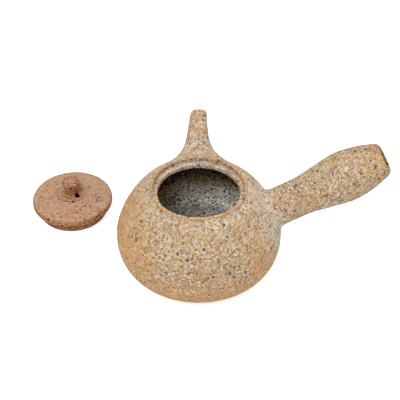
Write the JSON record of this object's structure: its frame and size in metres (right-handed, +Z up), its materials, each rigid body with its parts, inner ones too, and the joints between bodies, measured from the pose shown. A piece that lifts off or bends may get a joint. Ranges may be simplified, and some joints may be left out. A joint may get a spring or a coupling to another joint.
{
  "type": "side-handle teapot",
  "caption": "Squat round stoneware teapot with a straight spout, a hollow side handle set at a right angle to it, and a domed lid lifted off beside it.",
  "frame": {"origin": "middle of the pot's flat foot, on the pot's own axis, at table height", "axes": "+Z up, +Y towards the spout, +X towards the handle, which is turned 3.8 degrees from +X towards the spout; the lid lies on the table towards -X"},
  "size_m": [0.2426, 0.1349, 0.0886],
  "materials": {
    "buff_clay": "matt unglazed speckled stoneware",
    "brown_clay": "matt unglazed speckled stoneware, redder",
    "grey_clay": "matt unglazed stoneware, grey from the fire"
  },
  "bodies": {
    "pot": {"pot_body": "buff_clay", "spout": "buff_clay", "spout_seam": "buff_clay", "strainer": "grey_clay", "handle": "buff_clay", "handle_seam": "buff_clay"},
    "lid": {"lid_disc": "brown_clay", "lid_collar": "brown_clay", "lid_knob": "brown_clay"}
  },
  "joints": [
    {"name": "lid_lift", "type": "slide", "parent": "pot", "child": "lid", "axis": [0, 0, 1], "range_m": [0, 0.1]}
  ]
}
